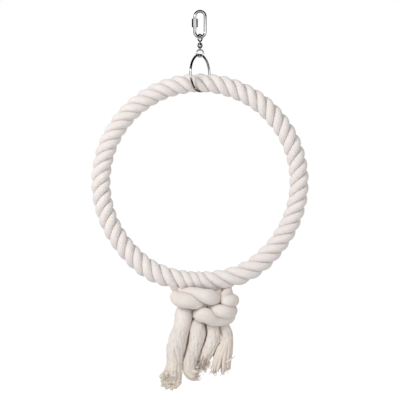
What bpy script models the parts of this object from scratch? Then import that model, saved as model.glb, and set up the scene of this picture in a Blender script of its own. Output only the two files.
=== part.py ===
"""Rope ring swing for a bird cage.

A quick link carries a barrel swivel, the swivel carries a steel hanger ring, and a three-strand
cotton rope laid round a steel hoop hangs in that ring. At the foot of the hoop the six loose strand
ends are knotted together and hang down as frayed tails.

Units are metres and +Z is up. The origin is the point inside the top of the quick link that rests
on whatever carries the swing. The rope ring lies in the XZ plane and is seen along +Y.
"""

import math

import bpy
import numpy as np
from mathutils import Matrix

MM = 0.001

# Rope ring
RING_OUTER_DIAMETER = 250 * MM
ROPE_DIAMETER = 22.4 * MM
LAY_TURNS = 18
STRANDS = 3
STRAND_GAP = 0.45 * MM
CORE_GAP = 0.3 * MM
POINTS_PER_TURN = 10

# Quick link and its nut
LINK_LENGTH = 33.0 * MM
LINK_WIDTH = 15.2 * MM
LINK_WIRE = 3.3 * MM
LINK_GATE = 3.7 * MM
NUT_LENGTH = 9.6 * MM
NUT_ACROSS_FLATS = 6.1 * MM
NUT_BELOW_HANG_POINT = 7.0 * MM
NUT_HOLD = 1.5 * MM
NUT_CHAMFER = 0.5 * MM
NUT_EDGE_ANGLE = math.radians(75)
NUT_CLEARANCE = 0.3 * MM
NUT_TURN = math.radians(30)

# Barrel swivel
EYE_WIRE = 1.7 * MM
UPPER_EYE_OUTER = 9.6 * MM
UPPER_EYE_TURN = math.radians(53)
LOWER_EYE_OUTER = 9.7 * MM
NECK_LENGTH = 1.25 * MM
BARREL_LENGTH = 5.7 * MM
BARREL_DIAMETER = 5.9 * MM
BARREL_END_DIAMETER = 4.4 * MM
BARREL_WALL = 0.75 * MM
HEAD_THICKNESS = 0.9 * MM
SWIVEL_CLEARANCE = 0.3 * MM

# Hanger ring
HANGER_OUTER = 44.5 * MM
HANGER_WIRE = 2.4 * MM
HANGER_TURN = math.radians(59)

# Gap left where one piece hangs on another; the upper eye crosses its wire at a slant and needs more
SEAT_GAP = 0.3 * MM
UPPER_EYE_GAP = 0.65 * MM

# Facets: steps along a ring and sides of its wire, and the bevel resolution of bent rod and strands
HOOP_FACETS = (64, 6)
HANGER_FACETS = (48, 8)
EYE_FACETS = (28, 8)
LINK_BEND_STEPS = 12
BARREL_STEPS = 20
BARREL_PROFILE_STEPS = 6
SHANK_SIDES = 12
ROD_BEVEL_STEPS = 3
LAID_BEVEL_STEPS = 1
END_BEVEL_STEPS = 2

# Size of the axis empties, and the distance at which points of a turned piece become one
EMPTY_SIZE = 5.0 * MM
MERGE_DISTANCE = 0.01 * MM

# Knot and tails
CUT_ANGLE = math.radians(3)
END_GAP = 0.8 * MM
LEAD_OUT = 5.0 * MM
KNOT_GAP = 0.7 * MM
KNOT_STEP = 5.0 * MM
SETTLE_STEP = 3.5 * MM
SETTLE_PASSES = 60
SETTLE_ROUNDS = 9
PINNED_POINTS = 2
CURVE_STEPS = 24
# A strand end keeps off itself from this many radii on; shares of an overlap that one pass takes away
SELF_CLEAR = 2.5
END_PUSH = 0.25
ROPE_PUSH = 0.4
PUSH_SPREAD = 0.2
# The rope is in the way of the knot from this share of the ring radius below the ring centre
KNOT_ZONE = 0.7

# Each strand end runs from the rope, through the knot, to its frayed tip. A point is (x, y, z,
# diameter) in millimetres from the lowest point of the rope ring. The viewer stands at -Y.
END_ROUTES = {
    "strand_1_left_end": [
        (-19.0, 2.5, -2.5, 9.8), (-25.0, -2.0, -4.0, 11.4), (-26.0, -9.0, -5.6, 14.0),
        (-22.0, -15.0, -8.6, 16.4), (-14.0, -17.5, -10.2, 17.0), (-5.5, -16.0, -12.4, 15.0),
        (2.5, -10.0, -15.0, 12.2), (8.5, -2.0, -20.0, 11.4), (12.5, 0.5, -29.0, 12.4),
        (14.5, -1.0, -40.0, 15.0), (15.8, -2.0, -51.5, 17.0), (12.0, -3.0, -64.0, 17.4),
        (6.2, -3.0, -75.0, 15.4), (3.0, -3.0, -84.0, 14.0),
    ],
    "strand_1_right_end": [
        (-20.5, 1.5, 2.0, 9.6), (-20.5, -6.0, -4.0, 11.0), (-14.5, -14.5, -1.0, 9.6),
        (-5.0, -18.5, -1.5, 11.0), (4.0, -20.5, -4.5, 14.6), (11.5, -18.5, -6.8, 17.0),
        (17.0, -11.0, -9.5, 14.4), (17.0, -1.5, -12.5, 12.0), (13.0, 6.0, -18.0, 11.2),
        (10.0, 11.0, -28.0, 11.6), (9.0, 13.5, -41.0, 13.5), (8.0, 14.0, -56.0, 14.5),
        (5.5, 12.5, -70.0, 14.5), (2.0, 11.0, -80.0, 15.0), (0.0, 10.0, -87.0, 15.0),
    ],
    "strand_2_left_end": [
        (1.0, 1.0, -2.0, 9.6), (2.5, 7.5, -6.0, 10.4), (-2.0, 11.0, -11.0, 11.0),
        (-10.0, 9.5, -15.0, 11.2), (-16.5, 4.0, -19.0, 12.8), (-18.6, -1.0, -26.5, 16.0),
        (-20.6, -3.0, -40.0, 18.6), (-25.8, -4.0, -57.0, 22.2), (-28.4, -4.0, -72.0, 22.2),
        (-29.4, -4.0, -85.0, 18.4), (-31.4, -7.5, -95.5, 20.5), (-34.5, -18.0, -103.0, 23.5),
    ],
    "strand_2_right_end": [
        (4.0, 1.0, 0.0, 9.6), (5.5, -3.5, -6.0, 10.2), (8.0, -5.5, -13.0, 10.8),
        (13.0, -6.5, -20.0, 11.4), (18.5, -15.0, -22.5, 13.6), (24.0, -18.5, -23.5, 14.4),
        (31.0, -16.5, -24.5, 14.2), (36.0, -8.0, -23.0, 13.0), (34.0, 2.5, -20.5, 11.8),
        (27.0, 7.5, -22.0, 11.4), (23.5, 6.0, -29.0, 11.4), (26.5, 2.5, -38.0, 12.4),
        (31.0, -1.0, -50.0, 13.8), (30.4, -3.0, -61.0, 15.0), (26.5, -3.0, -73.0, 19.0),
        (24.4, -3.0, -85.0, 22.0), (22.0, -3.0, -98.0, 23.0),
    ],
    "strand_3_left_end": [
        (15.0, 1.0, -1.0, 9.6), (24.0, 3.0, 0.0, 9.6), (22.5, 9.5, -4.0, 10.2), (24.0, 16.0, -10.0, 10.8),
        (30.0, 16.5, -19.0, 11.2), (34.5, 9.0, -26.0, 11.8), (33.0, 0.0, -30.0, 12.6),
        (27.0, -5.5, -30.5, 13.4), (18.5, -8.0, -29.8, 14.6), (12.0, -12.5, -27.0, 17.6),
        (6.5, -14.0, -25.0, 19.0), (3.0, -8.5, -25.5, 18.4), (-2.5, 1.0, -26.5, 13.0),
        (-9.5, 6.5, -29.5, 11.8), (-13.0, 10.0, -35.0, 12.4), (-14.0, 13.5, -50.0, 14.0),
        (-15.0, 14.0, -65.0, 14.5), (-14.0, 14.0, -80.0, 15.0),
    ],
    "strand_3_right_end": [
        (32.5, -0.5, 3.5, 9.8), (32.2, -5.0, -2.0, 12.4), (29.0, -10.5, -7.0, 13.4),
        (29.5, -15.0, -11.0, 13.6), (35.5, -14.0, -11.2, 13.8), (38.0, -6.5, -10.8, 13.2),
        (37.6, 2.5, -10.5, 12.4), (34.0, 12.0, -10.0, 11.6), (26.0, 22.0, -13.0, 11.2),
        (11.0, 23.0, -16.0, 11.2), (2.5, 16.0, -22.5, 11.2), (-1.0, 6.5, -31.0, 12.0),
        (-3.3, -1.5, -40.5, 17.4), (-3.2, -3.0, -51.0, 19.0), (-6.0, -4.0, -63.5, 17.4),
        (-9.8, -4.0, -76.0, 17.6), (-12.4, -4.0, -86.0, 16.4), (-10.0, -4.0, -94.5, 17.0),
        (-1.5, -4.0, -95.5, 17.0),
    ],
}

# Places that follow from the sizes above, from the hang point down
LINK_BEND_RADIUS = (LINK_WIDTH - LINK_WIRE) / 2
LINK_TOP_BEND_Z = LINK_WIRE / 2 - LINK_BEND_RADIUS
LINK_BOTTOM_BEND_Z = LINK_TOP_BEND_Z - (LINK_LENGTH - LINK_WIDTH)
LINK_BOTTOM_Z = LINK_BOTTOM_BEND_Z - LINK_BEND_RADIUS
LINK_LEG_X = -LINK_BEND_RADIUS
GATE_TOP_Z = -NUT_BELOW_HANG_POINT - NUT_HOLD
NUT_Z = -NUT_BELOW_HANG_POINT - NUT_LENGTH / 2
UPPER_EYE_TOP_Z = LINK_BOTTOM_Z + LINK_WIRE / 2 + UPPER_EYE_GAP + EYE_WIRE / 2
UPPER_EYE_Z = UPPER_EYE_TOP_Z - (UPPER_EYE_OUTER - EYE_WIRE) / 2
BARREL_Z = UPPER_EYE_Z - UPPER_EYE_OUTER / 2 - NECK_LENGTH - BARREL_LENGTH / 2
LOWER_EYE_Z = BARREL_Z - BARREL_LENGTH / 2 - NECK_LENGTH - LOWER_EYE_OUTER / 2
LOWER_EYE_BOTTOM_Z = LOWER_EYE_Z - (LOWER_EYE_OUTER - EYE_WIRE) / 2
HANGER_RADIUS = (HANGER_OUTER - HANGER_WIRE) / 2
HANGER_TOP_Z = LOWER_EYE_BOTTOM_Z + EYE_WIRE / 2 + SEAT_GAP + HANGER_WIRE / 2
HANGER_Z = HANGER_TOP_Z - HANGER_RADIUS
HANGER_BOTTOM_Z = HANGER_Z - HANGER_RADIUS
RING_RADIUS = (RING_OUTER_DIAMETER - ROPE_DIAMETER) / 2


def neighbour_distance(helix_radius):
    """Least distance between the centre lines of two strands, on the inner side of the ring."""
    chord_radius = helix_radius * math.cos(math.pi / POINTS_PER_TURN)
    rise = (RING_RADIUS - helix_radius) / LAY_TURNS
    turn = np.linspace(0, 2 * math.pi / STRANDS, 200)
    across = 2 * chord_radius * np.sin(turn / 2)
    along = rise * (turn - 2 * math.pi / STRANDS)
    return float(np.hypot(across, along).min())


def lay_radii():
    """Helix and strand radius of strands that fill the rope and just clear each other."""
    low, high = 0.25 * ROPE_DIAMETER, 0.45 * ROPE_DIAMETER
    for _ in range(40):
        helix = (low + high) / 2
        strand = ROPE_DIAMETER / 2 - helix
        if neighbour_distance(helix) > 2 * strand + STRAND_GAP:
            high = helix
        else:
            low = helix
    return high, ROPE_DIAMETER / 2 - high


HELIX_RADIUS, STRAND_RADIUS = lay_radii()
CORE_RADIUS = HELIX_RADIUS * math.cos(math.pi / POINTS_PER_TURN) - STRAND_RADIUS - CORE_GAP


def lay_point(angle, strand):
    """Centre of a strand at an angle round the ring, from its lowest point towards +X."""
    turn = LAY_TURNS * angle + 2 * math.pi * strand / STRANDS
    reach = RING_RADIUS + HELIX_RADIUS * math.cos(turn)
    return np.array([reach * math.sin(angle), HELIX_RADIUS * math.sin(turn), -reach * math.cos(angle)])


def hanger_point(angle):
    """Centre of the hanger ring's wire, from its lowest point, about its own bottom."""
    side = HANGER_RADIUS * math.sin(angle)
    rise = HANGER_RADIUS * (1 - math.cos(angle))
    return np.array([side * math.cos(HANGER_TURN), side * math.sin(HANGER_TURN), rise])


def seated_drop():
    """How far the rope's centre at its top lies above the hanger wire that carries it."""
    step = math.radians(0.25)
    strands = np.array([
        lay_point(math.pi + i * step, k) - [0, 0, RING_RADIUS]
        for k in range(STRANDS) for i in range(-60, 61)
    ])
    wire = np.array([hanger_point(math.radians(a)) for a in range(-60, 61)])
    touching = STRAND_RADIUS + HANGER_WIRE / 2 + SEAT_GAP
    low, high = 0.0, ROPE_DIAMETER
    for _ in range(30):
        drop = (low + high) / 2
        apart = strands[:, None] + [0, 0, drop] - wire[None]
        if np.linalg.norm(apart, axis=2).min() > touching:
            high = drop
        else:
            low = drop
    return high


ROPE_TOP_Z = HANGER_BOTTOM_Z + seated_drop()
RING_Z = ROPE_TOP_Z - RING_RADIUS
RING_BOTTOM_Z = RING_Z - RING_OUTER_DIAMETER / 2

# The strands leave the lay one after another: left, middle and right of the ring's lowest point
CUT_PLACES = {
    "strand_1": (2, -2 * 2 * math.pi / STRANDS / LAY_TURNS),
    "strand_2": (0, 0.0),
    "strand_3": (1, 2 * 2 * math.pi / STRANDS / LAY_TURNS),
}


def clear_scene():
    for old in list(bpy.data.objects):
        bpy.data.objects.remove(old, do_unlink=True)


def new_collection(name):
    collection = bpy.data.collections.new(name)
    bpy.context.scene.collection.children.link(collection)
    return collection


def new_material(name, colour, roughness, metallic):
    material = bpy.data.materials.new(name)
    material.use_nodes = True
    shader = material.node_tree.nodes["Principled BSDF"]
    shader.inputs["Base Color"].default_value = (*colour, 1)
    shader.inputs["Roughness"].default_value = roughness
    shader.inputs["Metallic"].default_value = metallic
    return material


def move_to(piece, collection):
    for old in list(piece.users_collection):
        old.objects.unlink(piece)
    collection.objects.link(piece)
    return piece


def axis_empty(name, place):
    """An empty on a joint's axis, which its pieces are parented to."""
    empty = bpy.data.objects.new(name, None)
    empty.location = place
    empty.empty_display_size = EMPTY_SIZE
    PARTS.objects.link(empty)
    bpy.context.view_layer.update()
    return empty


def hang_on(piece, empty):
    piece.parent = empty
    piece.matrix_parent_inverse = empty.matrix_world.inverted()


def tube(name, points, radii, material, resolution):
    """A round wire or strand along the points, with a radius at each."""
    curve = bpy.data.curves.new(name, "CURVE")
    curve.dimensions = "3D"
    curve.bevel_depth = max(radii)
    curve.bevel_resolution = resolution
    curve.use_fill_caps = True
    spline = curve.splines.new("POLY")
    spline.points.add(len(points) - 1)
    for spot, place, radius in zip(spline.points, points, radii):
        spot.co = (*place, 1)
        spot.radius = radius / curve.bevel_depth
    piece = bpy.data.objects.new(name, curve)
    curve.materials.append(material)
    PARTS.objects.link(piece)
    return piece


def torus(name, radius, wire, place, turn, material, facets):
    """A closed wire ring that stands upright, turned about Z from the XZ plane."""
    bpy.ops.mesh.primitive_torus_add(
        major_radius=radius, minor_radius=wire / 2, major_segments=facets[0], minor_segments=facets[1],
    )
    piece = bpy.context.object
    piece.name = name
    upright = Matrix.Rotation(turn, 4, "Z") @ Matrix.Rotation(math.pi / 2, 4, "X")
    piece.data.transform(Matrix.Translation(place) @ upright)
    piece.data.shade_smooth()
    piece.data.materials.append(material)
    return move_to(piece, PARTS)


def round_bar(name, radius, top_z, bottom_z, x=0.0, sides=16):
    """A plain round bar along Z, used to cut or to join."""
    bpy.ops.mesh.primitive_cylinder_add(
        vertices=sides, radius=radius, depth=top_z - bottom_z, location=(x, 0, (top_z + bottom_z) / 2),
    )
    bar = bpy.context.object
    bar.name = name
    bar.hide_render = True
    bar.display_type = "WIRE"
    return move_to(bar, CUTTERS)


def boolean(piece, other, operation):
    modifier = piece.modifiers.new(operation.lower(), "BOOLEAN")
    modifier.operation = operation
    modifier.object = other
    modifier.solver = "EXACT"


def quick_link():
    """Bent rod, open at the gate in its left leg."""
    points = [(LINK_LEG_X, 0, GATE_TOP_Z)]
    for half_turn, bend_z in ((math.pi, LINK_TOP_BEND_Z), (0.0, LINK_BOTTOM_BEND_Z)):
        for i in range(LINK_BEND_STEPS + 1):
            angle = half_turn - i * math.pi / LINK_BEND_STEPS
            points.append((
                LINK_BEND_RADIUS * math.cos(angle), 0, bend_z + LINK_BEND_RADIUS * math.sin(angle),
            ))
    points.append((LINK_LEG_X, 0, GATE_TOP_Z - LINK_GATE))
    return tube("quick_link_body", points, [LINK_WIRE / 2] * len(points), STEEL, ROD_BEVEL_STEPS)


def quick_link_nut():
    """Long hexagon nut that screws across the gate."""
    bpy.ops.mesh.primitive_cylinder_add(
        vertices=6, radius=NUT_ACROSS_FLATS / math.sqrt(3), depth=NUT_LENGTH,
        location=(LINK_LEG_X, 0, NUT_Z), rotation=(0, 0, NUT_TURN),
    )
    nut = bpy.context.object
    nut.name = "quick_link_nut"
    nut.data.materials.append(STEEL)
    rounding = nut.modifiers.new("chamfer", "BEVEL")
    rounding.width = NUT_CHAMFER
    rounding.segments = 1
    rounding.limit_method = "ANGLE"
    rounding.angle_limit = NUT_EDGE_ANGLE
    bore = round_bar(
        "nut_bore", LINK_WIRE / 2 + NUT_CLEARANCE, NUT_Z + NUT_LENGTH, NUT_Z - NUT_LENGTH, LINK_LEG_X,
    )
    boolean(nut, bore, "DIFFERENCE")
    return move_to(nut, PARTS)


def swivel_eye(name, outer, centre_z, turn, side):
    """Wire eye with a headed shank in the barrel, above it (side 1) or below it (side -1)."""
    eye = torus(name, (outer - EYE_WIRE) / 2, EYE_WIRE, (0, 0, centre_z), turn, STEEL, EYE_FACETS)
    head_far = BARREL_Z + side * (BARREL_LENGTH / 2 - BARREL_WALL - SWIVEL_CLEARANCE)
    head_near = head_far - side * HEAD_THICKNESS
    shank_start = centre_z - side * (outer - EYE_WIRE) / 2
    shank_end = (head_far + head_near) / 2
    head_radius = BARREL_END_DIAMETER / 2 - BARREL_WALL / 2 - SWIVEL_CLEARANCE
    head = round_bar(f"{name}_head", head_radius, max(head_far, head_near), min(head_far, head_near))
    shank = round_bar(
        f"{name}_shank", EYE_WIRE / 2, max(shank_start, shank_end), min(shank_start, shank_end),
        sides=SHANK_SIDES,
    )
    boolean(eye, shank, "UNION")
    boolean(eye, head, "UNION")
    return eye


def swivel_barrel():
    """Turned barrel, hollow, with a hole at each end for the shanks."""
    half = BARREL_LENGTH / 2
    hole = EYE_WIRE / 2 + SWIVEL_CLEARANCE
    cavity = BARREL_END_DIAMETER / 2 - BARREL_WALL / 2
    swell = (BARREL_DIAMETER - BARREL_END_DIAMETER) / 2
    profile = [(hole, half)]
    for i in range(BARREL_PROFILE_STEPS + 1):
        z = half - i * BARREL_LENGTH / BARREL_PROFILE_STEPS
        profile.append((BARREL_END_DIAMETER / 2 + swell * math.cos(math.pi * z / BARREL_LENGTH), z))
    profile += [
        (hole, -half), (hole, BARREL_WALL - half), (cavity, BARREL_WALL - half),
        (cavity, half - BARREL_WALL), (hole, half - BARREL_WALL),
    ]
    mesh = bpy.data.meshes.new("swivel_barrel")
    edges = [(i, (i + 1) % len(profile)) for i in range(len(profile))]
    mesh.from_pydata([(r, 0, BARREL_Z + z) for r, z in profile], edges, [])
    mesh.materials.append(STEEL)
    barrel = bpy.data.objects.new("swivel_barrel", mesh)
    PARTS.objects.link(barrel)
    turn = barrel.modifiers.new("turned", "SCREW")
    turn.axis = "Z"
    turn.steps = turn.render_steps = BARREL_STEPS
    turn.use_merge_vertices = True
    turn.merge_threshold = MERGE_DISTANCE
    turn.use_smooth_shade = True
    return barrel


def ring_line(name):
    """Centre line of one strand round the ring, from its right cut end to its left one."""
    strand, cut = CUT_PLACES[name]
    sweep = 2 * math.pi - 2 * CUT_ANGLE
    count = round(LAY_TURNS * POINTS_PER_TURN * sweep / (2 * math.pi))
    angles = [cut + CUT_ANGLE + sweep * i / count for i in range(count + 1)]
    return np.array([lay_point(a, strand) for a in angles]) + [0, 0, RING_Z]


def smooth_line(points, step):
    """Points a step apart on a smooth curve through the given points; columns past xyz go along."""
    padded = np.vstack([2 * points[0] - points[1], points, 2 * points[-1] - points[-2]])
    t = np.linspace(0, 1, CURVE_STEPS, endpoint=False)[:, None]
    dense = []
    for a, b, c, d in zip(padded[:-3], padded[1:-2], padded[2:-1], padded[3:]):
        dense.append(0.5 * (
            2 * b + (c - a) * t + (2 * a - 5 * b + 4 * c - d) * t**2 + (3 * b - 3 * c + d - a) * t**3
        ))
    dense = np.vstack([*dense, points[-1:]])
    along = np.concatenate([[0], np.cumsum(np.linalg.norm(np.diff(dense[:, :3], axis=0), axis=1))])
    at = np.linspace(0, along[-1], max(2, round(along[-1] / step)) + 1)
    return np.column_stack([np.interp(at, along, column) for column in dense.T])


def end_line(name, ring):
    """Start line of a strand end, with its radius: out of its cut, then along its route."""
    left = name.endswith("left_end")
    cut, before = (ring[-1], ring[-2]) if left else (ring[0], ring[1])
    out = (cut - before) / np.linalg.norm(cut - before)
    start = cut + END_GAP * out
    lead = np.array([[*start, STRAND_RADIUS], [*(start + LEAD_OUT * out), STRAND_RADIUS]])
    route = np.array(END_ROUTES[name]) * MM
    route[:, 2] += RING_BOTTOM_Z
    route[:, 3] /= 2
    return smooth_line(np.vstack([lead, route]), KNOT_STEP)


def push_apart(lines, obstacles):
    """Move the points of the strand ends off each other and off the rope, each push spread along."""
    count = [len(line) for line in lines]
    which = np.repeat(np.arange(len(lines)), count)
    order = np.concatenate([np.arange(n) for n in count])
    place, radius = np.vstack(lines)[:, :3], np.vstack(lines)[:, 3]
    index = np.arange(len(order))
    before = np.where(order > 0, index - 1, index)
    after = np.where(np.append(order[1:], 0) > 0, index + 1, index)
    free = (order >= PINNED_POINTS)[:, None]
    away = np.abs(order[:, None] - order) * SETTLE_STEP > SELF_CLEAR * (radius[:, None] + radius)
    need = np.where((which[:, None] != which) | away, radius[:, None] + radius + KNOT_GAP, 0)
    need_rope = radius[:, None] + STRAND_RADIUS + KNOT_GAP
    moved = np.zeros_like(place)
    for _ in range(SETTLE_PASSES):
        now = place + moved
        gap = now[:, None] - now
        far = np.linalg.norm(gap, axis=2) + 1e-9
        rope_gap = now[:, None] - obstacles
        rope_far = np.linalg.norm(rope_gap, axis=2)
        push = (END_PUSH * (np.clip(need - far, 0, None) / far)[..., None] * gap).sum(1)
        rope_press = np.clip(need_rope - rope_far, 0, None) / rope_far
        push += (ROPE_PUSH * rope_press[..., None] * rope_gap).sum(1)
        moved += free * push
        moved = free * ((1 - 2 * PUSH_SPREAD) * moved + PUSH_SPREAD * (moved[before] + moved[after]))
    now = place + moved
    apart = np.linalg.norm(now[:, None] - now, axis=2) - radius[:, None] - radius
    print(f"knot: least gap between strand ends {apart[which[:, None] != which].min() / MM:.2f} mm")
    return [np.column_stack([now[which == i], radius[which == i]]) for i in range(len(lines))]


def settle(lines, obstacles):
    """Strand ends that clear each other: pushed apart, and sampled evenly again, a few times."""
    for _ in range(SETTLE_ROUNDS):
        lines = push_apart([smooth_line(line, SETTLE_STEP) for line in lines], obstacles)
    return [smooth_line(line, KNOT_STEP) for line in lines]


def rope(axis):
    """Core hoop, the three strands of the lay, and the six strand ends of the knot."""
    hoop = torus(
        "core_hoop", RING_RADIUS, 2 * CORE_RADIUS, (0, 0, RING_Z), 0.0, CORE_STEEL, HOOP_FACETS,
    )
    hang_on(hoop, axis)
    rings = {name: ring_line(name) for name in CUT_PLACES}
    for name, line in rings.items():
        hang_on(tube(name, line, [STRAND_RADIUS] * len(line), COTTON, LAID_BEVEL_STEPS), axis)
    lines = [end_line(name, rings[name[:8]]) for name in END_ROUTES]
    near_knot = np.vstack(list(rings.values()))
    near_knot = near_knot[near_knot[:, 2] < RING_Z - KNOT_ZONE * RING_RADIUS]
    for name, line in zip(END_ROUTES, settle(lines, near_knot)):
        hang_on(tube(name, line[:, :3], line[:, 3], COTTON, END_BEVEL_STEPS), axis)


clear_scene()
PARTS = new_collection("rope_ring_bird_swing")
CUTTERS = new_collection("cutters")
STEEL = new_material("polished_steel", (0.62, 0.62, 0.63), 0.12, 1.0)
CORE_STEEL = new_material("hoop_steel", (0.32, 0.32, 0.33), 0.35, 1.0)
COTTON = new_material("cotton_rope", (0.83, 0.79, 0.75), 0.9, 0.0)

hang_on(quick_link(), axis_empty("hang_point", (0, 0, 0)))
hang_on(quick_link_nut(), axis_empty("nut_slide", (LINK_LEG_X, 0, NUT_Z)))
hang_on(
    swivel_eye("swivel_upper_eye", UPPER_EYE_OUTER, UPPER_EYE_Z, UPPER_EYE_TURN, 1),
    axis_empty("eye_swing", (0, 0, LINK_BOTTOM_Z)),
)
hang_on(swivel_barrel(), axis_empty("barrel_turn", (0, 0, BARREL_Z)))
hang_on(
    swivel_eye("swivel_lower_eye", LOWER_EYE_OUTER, LOWER_EYE_Z, 0.0, -1),
    axis_empty("lower_eye_turn", (0, 0, BARREL_Z)),
)
hang_on(
    torus("hanger_ring", HANGER_RADIUS, HANGER_WIRE, (0, 0, HANGER_Z), HANGER_TURN, STEEL, HANGER_FACETS),
    axis_empty("hanger_swing", (0, 0, LOWER_EYE_BOTTOM_Z)),
)
rope(axis_empty("rope_swing", (0, 0, HANGER_BOTTOM_Z)))
print(f"strand {2 * STRAND_RADIUS / MM:.2f} mm, helix radius {HELIX_RADIUS / MM:.2f} mm, "
      f"core {2 * CORE_RADIUS / MM:.2f} mm")
print(f"rope top {ROPE_TOP_Z / MM:.2f}, ring centre {RING_Z / MM:.2f}, "
      f"ring bottom {RING_BOTTOM_Z / MM:.2f} mm")
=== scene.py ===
# %% [markdown]
# # A rope ring swing for a bird cage
# A quick link carries a barrel swivel, the swivel carries a steel ring, and a hoop of three-strand
# cotton rope hangs in that ring. Below the hoop the six loose strand ends are knotted together and
# hang as frayed tails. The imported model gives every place; here each piece gets its real form and finish.

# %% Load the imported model
import math

import bpy
import numpy as np
from mathutils import Matrix, Vector


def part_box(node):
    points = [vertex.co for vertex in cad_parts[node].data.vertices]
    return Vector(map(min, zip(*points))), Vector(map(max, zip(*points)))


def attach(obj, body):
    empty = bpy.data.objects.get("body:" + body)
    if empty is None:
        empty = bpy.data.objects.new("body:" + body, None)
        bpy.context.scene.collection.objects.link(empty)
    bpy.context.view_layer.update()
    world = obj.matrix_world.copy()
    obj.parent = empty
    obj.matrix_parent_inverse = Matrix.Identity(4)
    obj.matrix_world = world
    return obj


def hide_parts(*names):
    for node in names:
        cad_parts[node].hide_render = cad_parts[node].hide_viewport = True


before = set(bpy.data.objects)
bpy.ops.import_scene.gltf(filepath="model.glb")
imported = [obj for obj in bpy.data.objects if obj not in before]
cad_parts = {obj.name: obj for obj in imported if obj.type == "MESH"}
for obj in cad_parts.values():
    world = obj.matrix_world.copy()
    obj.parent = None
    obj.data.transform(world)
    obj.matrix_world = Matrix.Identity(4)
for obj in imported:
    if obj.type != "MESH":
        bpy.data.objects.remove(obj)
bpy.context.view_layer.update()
MM = 0.001
bpy.ops.object.select_all(action="DESELECT")
bpy.context.scene.view_settings.view_transform = "Standard"


# %% [markdown]
# ## Camera
# The photograph is a straight front view with almost no perspective, so the camera stands two metres
# away on the swing's own height and looks along +Y through a long lens. One pixel is 1.149 mm.

# %% Camera
PIXEL = 1.149 * MM
PHOTO_WIDTH = 400
VIEW_WIDTH = PHOTO_WIDTH * PIXEL
CAMERA_DISTANCE = 2.0
VIEW_MIDDLE_Z = -215.2 * MM

lens = bpy.data.cameras.new("camera")
lens.sensor_width = 36
lens.lens = lens.sensor_width * CAMERA_DISTANCE / VIEW_WIDTH
camera = bpy.data.objects.new("camera", lens)
camera.location = (0, -CAMERA_DISTANCE, VIEW_MIDDLE_Z)
camera.rotation_euler = (math.pi / 2, 0, 0)
bpy.context.scene.collection.objects.link(camera)
bpy.context.scene.camera = camera
print(f"camera: {lens.lens:.1f} mm lens, {VIEW_WIDTH / MM:.0f} mm across the view")


# %% [markdown]
# ## Helpers for finishes
# Colours are written as sRGB hex values, as a paint chart gives them, and turned to the linear
# numbers that a shader works with. One small function adds a node, sets it and links it.

# %% Finish helpers
def colour(hex_value):
    """Linear red, green, blue and alpha of an sRGB hex value."""
    parts = [int(hex_value[i:i + 2], 16) / 255 for i in (1, 3, 5)]
    linear = [c / 12.92 if c <= 0.04045 else ((c + 0.055) / 1.055) ** 2.4 for c in parts]
    return (*linear, 1.0)


def add_node(tree, kind, settings=None, links=None):
    """Add a node; settings go to its properties or sockets, links map a socket to another's output."""
    node = tree.nodes.new(kind)
    for name, value in (settings or {}).items():
        if isinstance(name, str) and hasattr(node, name):
            setattr(node, name, value)
        else:
            node.inputs[name].default_value = value
    for name, output in (links or {}).items():
        tree.links.new(output, node.inputs[name])
    return node


def new_finish(name, base, roughness, metallic=0.0):
    """A material with its Principled shader, ready for pattern nodes."""
    finish = bpy.data.materials.new(name)
    finish.use_nodes = True
    shader = finish.node_tree.nodes["Principled BSDF"]
    shader.inputs["Base Color"].default_value = colour(base)
    shader.inputs["Roughness"].default_value = roughness
    shader.inputs["Metallic"].default_value = metallic
    return finish, finish.node_tree, shader


# %% [markdown]
# ## Cotton
# The rope is undyed cotton: spun yarns, loosely twisted, with a soft matt surface. Yarns 1.4 mm thick
# run along each strand at a slant, and fine fibres cover them, drawn 0.35 mm wide, coarser than real
# ones, so that they show. Both are drawn in the strand's own UV map, where U goes once round and V is
# the length in metres, so they follow it through every bend. The folds between strands get painted
# shade, a browner tint: each piece carries an attribute that says how much painted shade it gets, from
# how deep in a fold it lies.

# %% Cotton finish
YARN_WIDTH = 1.4 * MM
FIBRE_WIDTH = 0.35 * MM
FIBRE_LENGTH = 12 * FIBRE_WIDTH
CLOUD_SIZE = 9 * MM
BUMP_HEIGHT = 0.35 * MM
BLOTCH, BLOTCH_START = 0.55, -0.05
STREAK = 0.5
# Browner tint of the painted shade in folds, dents and the inside of frayed bundles.
FOLD_PAINTED_SHADE_COLOUR = "#CDBDB0"
# Sockets of a colour mix: its two colours and its result.
MIX_A, MIX_B, MIX_RESULT = 6, 7, 2


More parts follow.
